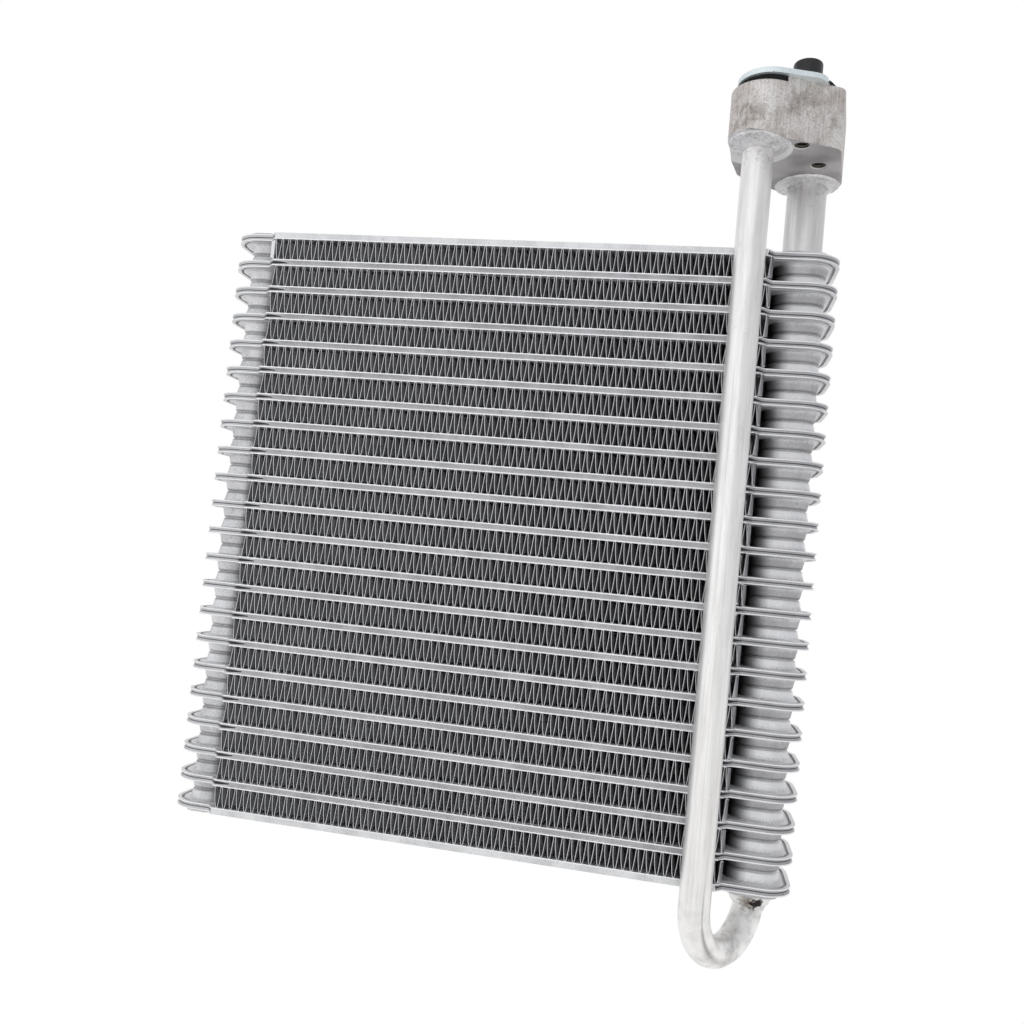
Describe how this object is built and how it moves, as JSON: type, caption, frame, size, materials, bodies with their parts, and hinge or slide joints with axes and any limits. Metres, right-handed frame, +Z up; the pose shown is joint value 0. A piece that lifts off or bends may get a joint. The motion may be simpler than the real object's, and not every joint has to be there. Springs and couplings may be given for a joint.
{
  "type": "evaporator core",
  "caption": "Plate-and-fin evaporator core with tanks at both ends, a looped liquid pipe, a suction pipe and a block fitting with a cover plate.",
  "frame": {"origin": "centre of the lower face of the bottom end sheet, midway between the front and rear lips", "axes": "+Z up the stack of plates, -Y the front with the liquid pipe, +X towards the tank with both pipes"},
  "size_m": [0.2601, 0.0724, 0.3476],
  "materials": {
    "fin_foil": "thin rolled foil, folded, satin",
    "tube_plate": "stamped and furnace brazed, satin",
    "tank_end": "stamped and furnace brazed, satin",
    "end_sheet": "rolled sheet, furnace brazed, satin",
    "pipe": "drawn tube, bright with light scuffs",
    "block": "extruded and sawn, stained",
    "zinc_plate": "zinc plated, bluish",
    "rubber": "matt",
    "black_screw": "black oxide, satin"
  },
  "bodies": {
    "root": {"fin_01": "fin_foil", "fin_02": "fin_foil", "fin_03": "fin_foil", "fin_04": "fin_foil", "fin_05": "fin_foil", "fin_06": "fin_foil", "fin_07": "fin_foil", "fin_08": "fin_foil", "fin_09": "fin_foil", "fin_10": "fin_foil", "fin_11": "fin_foil", "fin_12": "fin_foil", "fin_13": "fin_foil", "fin_14": "fin_foil", "fin_15": "fin_foil", "fin_16": "fin_foil", "fin_17": "fin_foil", "fin_18": "fin_foil", "fin_19": "fin_foil", "fin_20": "fin_foil", "fin_21": "fin_foil", "tube_01": "tube_plate", "tube_02": "tube_plate", "tube_03": "tube_plate", "tube_04": "tube_plate", "tube_05": "tube_plate", "tube_06": "tube_plate", "tube_07": "tube_plate", "tube_08": "tube_plate", "tube_09": "tube_plate", "tube_10": "tube_plate", "tube_11": "tube_plate", "tube_12": "tube_plate", "tube_13": "tube_plate", "tube_14": "tube_plate", "tube_15": "tube_plate", "tube_16": "tube_plate", "tube_17": "tube_plate", "tube_18": "tube_plate", "tube_19": "tube_plate", "tube_20": "tube_plate", "top_end_plate": "tank_end", "bottom_end_plate": "tank_end", "top_left_cover": "tank_end", "top_right_cover": "tank_end", "bottom_left_cover": "tank_end", "bottom_right_cover": "tank_end", "top_end_sheet": "end_sheet", "bottom_end_sheet": "end_sheet", "liquid_pipe": "pipe", "suction_pipe": "pipe", "block_fitting": "block", "cover_plate": "zinc_plate", "port_seal": "rubber", "cover_screw": "black_screw"}
  },
  "joints": []
}
